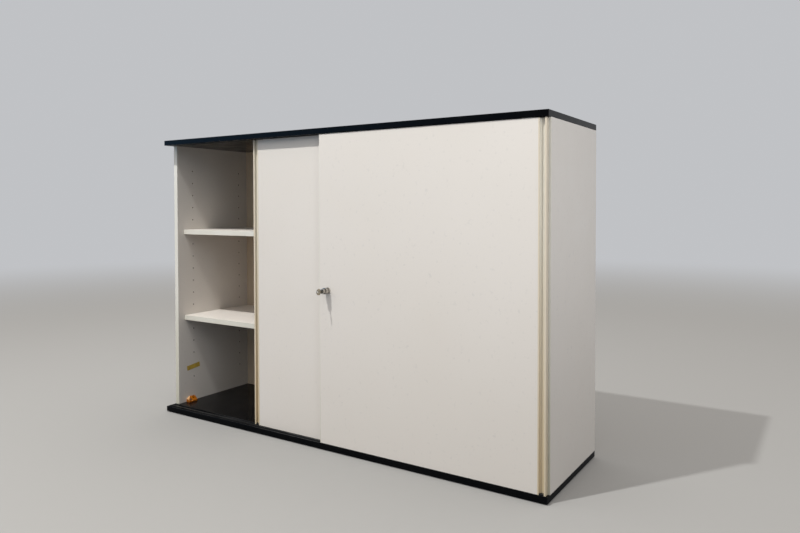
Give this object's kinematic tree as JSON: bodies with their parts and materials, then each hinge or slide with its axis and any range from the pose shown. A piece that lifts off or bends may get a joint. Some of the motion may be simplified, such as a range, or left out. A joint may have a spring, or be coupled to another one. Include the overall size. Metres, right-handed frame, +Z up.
{
  "type": "sliding door cabinet",
  "caption": "Low office cabinet with overlapping sliding doors on a double track, finger-grip edge profiles, a push lock with key, and adjustable shelves in two bays.",
  "frame": {"origin": "on the floor under the middle of the cabinet's width and depth, at the underside of the middle glide", "axes": "+X to the right along the width, +Y from the doors to the back, +Z up"},
  "size_m": [1.6, 0.4854, 1.087],
  "materials": {
    "black_laminate": "fine-textured black laminate on chipboard",
    "black_edging": "black edge band",
    "white_laminate": "off-white melamine on chipboard, satin",
    "cream_edging": "cream edge band, satin",
    "white_hardboard": "off-white coated hardboard",
    "beige_profile": "beige extruded profile, satin",
    "black_track": "black extruded track, satin",
    "black_plastic": "moulded black plastic",
    "white_nylon": "moulded white nylon",
    "amber_plastic": "moulded amber plastic",
    "beech": "plain beech",
    "steel": "zinc-plated steel",
    "satin_nickel": "satin nickel plate",
    "key_steel": "nickel-plated, worn"
  },
  "bodies": {
    "cabinet": {"base_board": "black_laminate", "base_edge_bands": "black_edging", "top_board": "black_laminate", "top_edge_bands": "black_edging", "floor_glides": "black_plastic", "left_side_panel": "white_laminate", "right_side_panel": "white_laminate", "middle_partition": "white_laminate", "left_side_edge_band": "cream_edging", "right_side_edge_band": "cream_edging", "partition_edge_band": "cream_edging", "left_back_panel": "white_hardboard", "right_back_panel": "white_hardboard", "corner_blocks": "amber_plastic", "joint_dowels": "beech", "lower_left_shelf": "white_laminate", "lower_left_shelf_band": "cream_edging", "upper_left_shelf": "white_laminate", "upper_left_shelf_band": "cream_edging", "lower_right_shelf": "white_laminate", "lower_right_shelf_band": "cream_edging", "upper_right_shelf": "white_laminate", "upper_right_shelf_band": "cream_edging", "shelf_pins": "steel", "bottom_track": "black_track", "top_track": "black_track", "door_stops": "black_plastic"},
    "rear_door": {"rear_door_panel": "white_laminate", "rear_door_grip": "beige_profile", "rear_door_grip_plugs": "black_plastic", "rear_door_roller_housings": "black_plastic", "rear_door_axles": "steel", "rear_door_top_guides": "white_nylon", "rear_door_catch_strip": "beige_profile"},
    "front_door": {"front_door_panel": "white_laminate", "front_door_grip": "beige_profile", "front_door_grip_plugs": "black_plastic", "front_door_roller_housings": "black_plastic", "front_door_axles": "steel", "front_door_top_guides": "white_nylon", "front_door_edge_band": "cream_edging", "lock_housing": "satin_nickel"},
    "push_lock": {"lock_plunger": "satin_nickel", "lock_bolt": "steel"},
    "key": {"lock_core": "satin_nickel", "key": "key_steel"},
    "rear_left_wheel": {"rear_door_left_roller": "white_nylon"},
    "rear_right_wheel": {"rear_door_right_roller": "white_nylon"},
    "front_left_wheel": {"front_door_left_roller": "white_nylon"},
    "front_right_wheel": {"front_door_right_roller": "white_nylon"}
  },
  "joints": [
    {"name": "rear_door_slide", "type": "slide", "parent": "cabinet", "child": "rear_door", "axis": [1, 0, 0], "range_m": [-0.46, 0.295]},
    {"name": "front_door_slide", "type": "slide", "parent": "cabinet", "child": "front_door", "axis": [1, 0, 0], "range_m": [-0.7872, 0]},
    {"name": "lock_push", "type": "slide", "parent": "front_door", "child": "push_lock", "axis": [0, 1, 0], "range_m": [0, 0.008], "stiffness_N_per_m": 300, "springref_m": -0.01},
    {"name": "key_turn", "type": "hinge", "parent": "push_lock", "child": "key", "pos_m": [0.029, -0.2125, 0.542], "axis": [0, 1, 0], "range_deg": [0, 90]},
    {"name": "rear_left_wheel_turn", "type": "hinge", "parent": "rear_door", "child": "rear_left_wheel", "pos_m": [-0.2536, -0.1835, 0.02834], "axis": [0, 1, 0], "range_deg": [-2370, 1520]},
    {"name": "rear_right_wheel_turn", "type": "hinge", "parent": "rear_door", "child": "rear_right_wheel", "pos_m": [0.402, -0.1835, 0.02834], "axis": [0, 1, 0], "range_deg": [-2370, 1520]},
    {"name": "front_left_wheel_turn", "type": "hinge", "parent": "front_door", "child": "front_left_wheel", "pos_m": [0.0736, -0.2045, 0.02834], "axis": [0, 1, 0], "range_deg": [-4040, 10]},
    {"name": "front_right_wheel_turn", "type": "hinge", "parent": "front_door", "child": "front_right_wheel", "pos_m": [0.7136, -0.2045, 0.02834], "axis": [0, 1, 0], "range_deg": [-4040, 10]}
  ],
  "couplings": [
    {"joint": "rear_left_wheel_turn", "follows": "rear_door_slide", "rad_per_m": 89.286},
    {"joint": "rear_right_wheel_turn", "follows": "rear_door_slide", "rad_per_m": 89.286},
    {"joint": "front_left_wheel_turn", "follows": "front_door_slide", "rad_per_m": 89.286},
    {"joint": "front_right_wheel_turn", "follows": "front_door_slide", "rad_per_m": 89.286}
  ]
}
